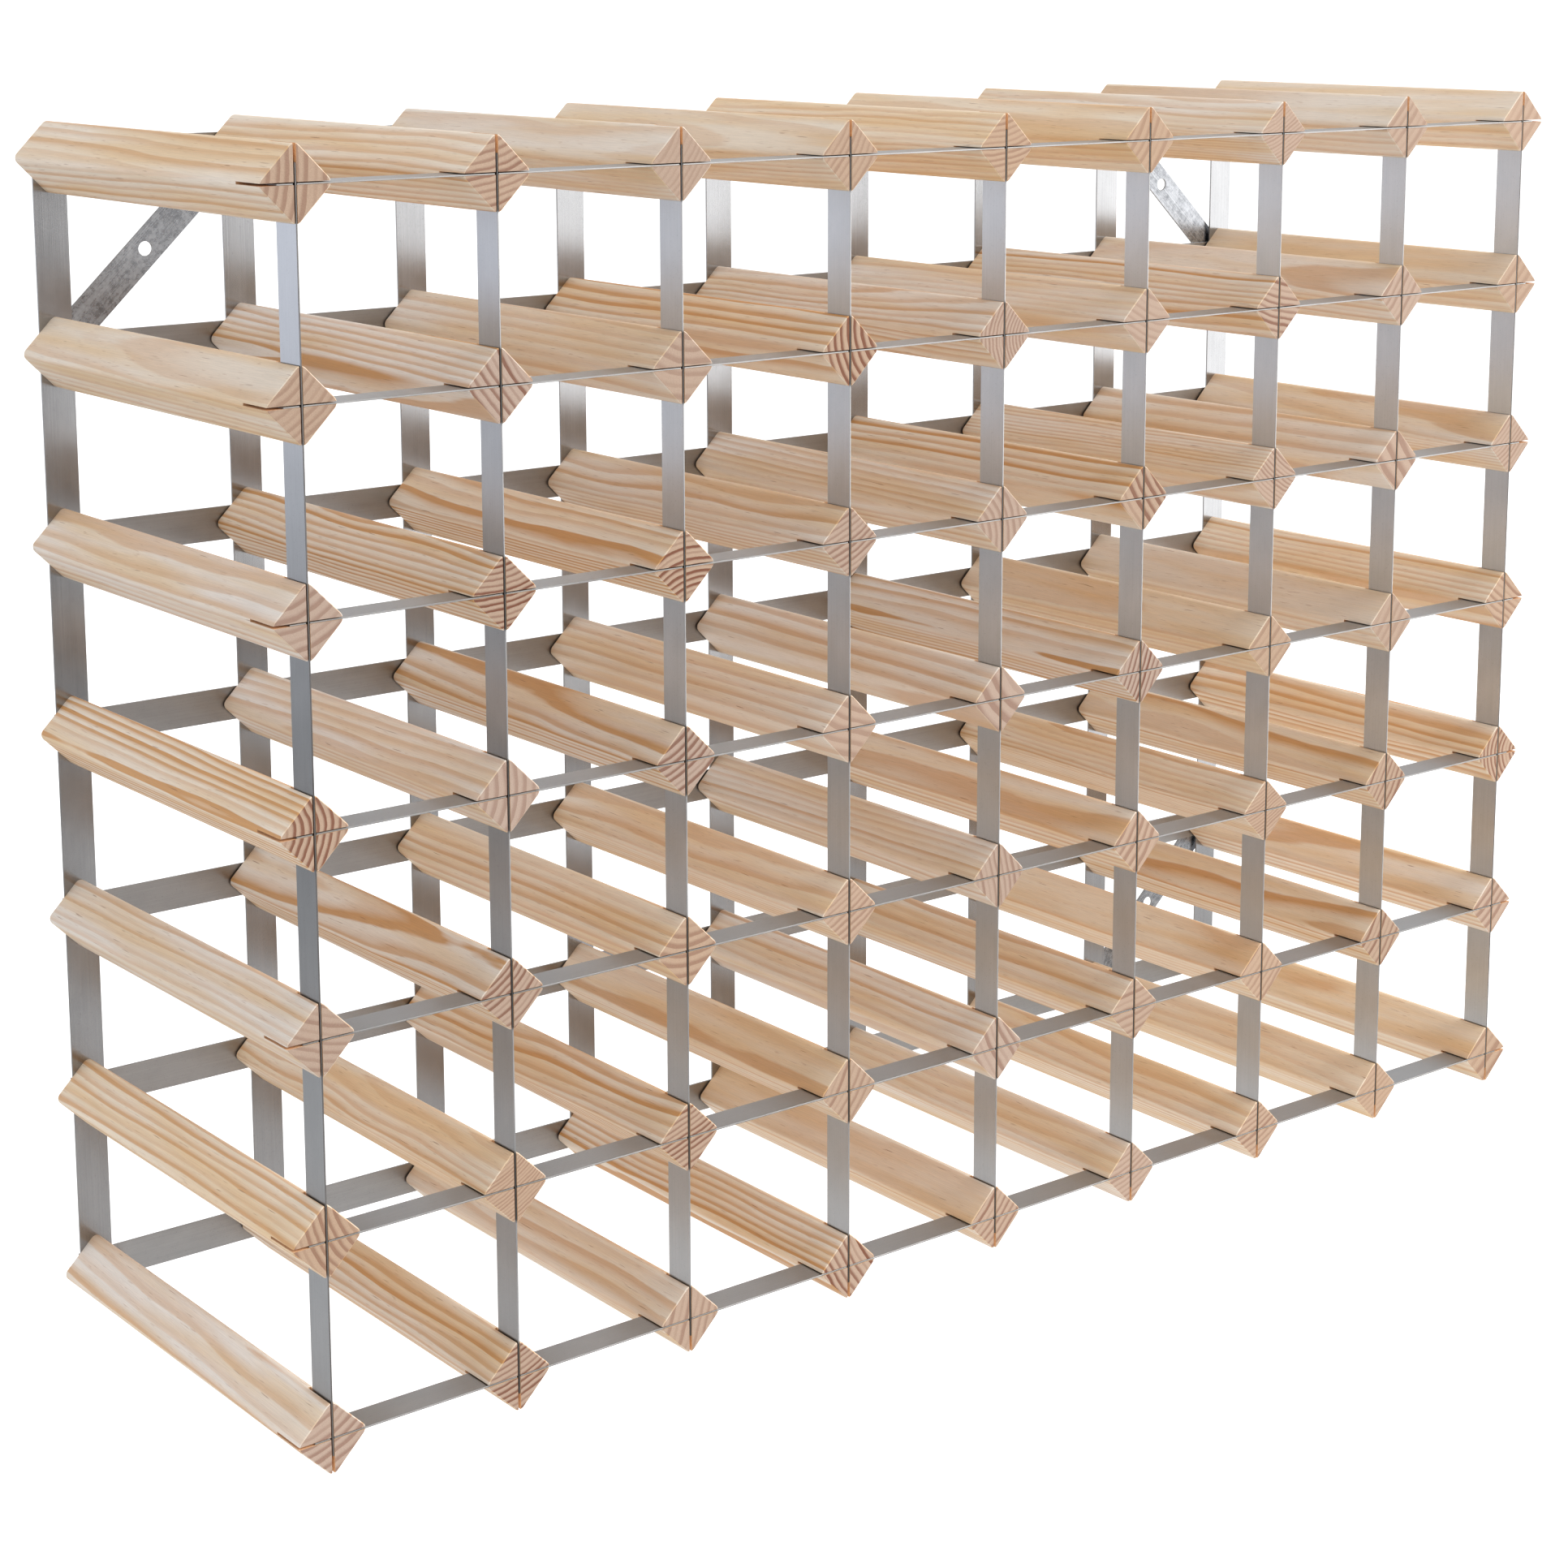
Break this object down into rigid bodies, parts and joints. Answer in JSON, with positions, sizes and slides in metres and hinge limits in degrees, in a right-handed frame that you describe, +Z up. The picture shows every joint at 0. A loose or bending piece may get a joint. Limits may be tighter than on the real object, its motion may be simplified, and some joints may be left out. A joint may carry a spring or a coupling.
{
  "type": "wine rack",
  "caption": "Freestanding wine rack: diamond-set pine bars lie front to back in a grid of galvanised steel strips, with diagonal corner straps at the back for fixing to a wall.",
  "frame": {"origin": "centre of the footprint, in the plane of the surface that the lowest bars stand on", "axes": "+X to the right seen from the front, +Y from the front to the back, +Z up"},
  "size_m": [0.8006, 0.232, 0.5727],
  "materials": {
    "pine": "bare, planed softwood",
    "galvanised_steel": "satin zinc with faint spangle"
  },
  "bodies": {
    "root": {"bar_column_1_row_1": "pine", "bar_column_1_row_2": "pine", "bar_column_1_row_3": "pine", "bar_column_1_row_4": "pine", "bar_column_1_row_5": "pine", "bar_column_1_row_6": "pine", "bar_column_1_row_7": "pine", "front_upright_1": "galvanised_steel", "column_2_bars_and_front_upright": "pine", "column_3_bars_and_front_upright": "pine", "column_4_bars_and_front_upright": "pine", "bar_column_5_row_1": "pine", "bar_column_5_row_2": "pine", "bar_column_5_row_3": "pine", "bar_column_5_row_4": "pine", "bar_column_5_row_5": "pine", "bar_column_5_row_6": "pine", "bar_column_5_row_7": "pine", "front_upright_5": "galvanised_steel", "column_6_bars_and_front_upright": "pine", "column_7_bars_and_front_upright": "pine", "column_8_bars_and_front_upright": "pine", "bar_column_9_row_1": "pine", "bar_column_9_row_2": "pine", "bar_column_9_row_3": "pine", "bar_column_9_row_4": "pine", "bar_column_9_row_5": "pine", "bar_column_9_row_6": "pine", "bar_column_9_row_7": "pine", "front_upright_9": "galvanised_steel", "front_rail_1": "galvanised_steel", "front_rail_2": "galvanised_steel", "front_rail_3": "galvanised_steel", "front_rail_4": "galvanised_steel", "front_rail_5": "galvanised_steel", "front_rail_6": "galvanised_steel", "front_rail_7": "galvanised_steel", "rear_upright_1": "galvanised_steel", "rear_upright_2": "galvanised_steel", "rear_upright_3": "galvanised_steel", "rear_upright_4": "galvanised_steel", "rear_upright_5": "galvanised_steel", "rear_upright_6": "galvanised_steel", "rear_upright_7": "galvanised_steel", "rear_upright_8": "galvanised_steel", "rear_upright_9": "galvanised_steel", "rear_rail_1": "galvanised_steel", "rear_rail_2": "galvanised_steel", "rear_rail_3": "galvanised_steel", "rear_rail_4": "galvanised_steel", "rear_rail_5": "galvanised_steel", "rear_rail_6": "galvanised_steel", "rear_rail_7": "galvanised_steel", "wall_brace_top_left": "galvanised_steel", "wall_brace_top_right": "galvanised_steel", "wall_brace_bottom_left": "galvanised_steel", "wall_brace_bottom_right": "galvanised_steel"}
  },
  "joints": []
}
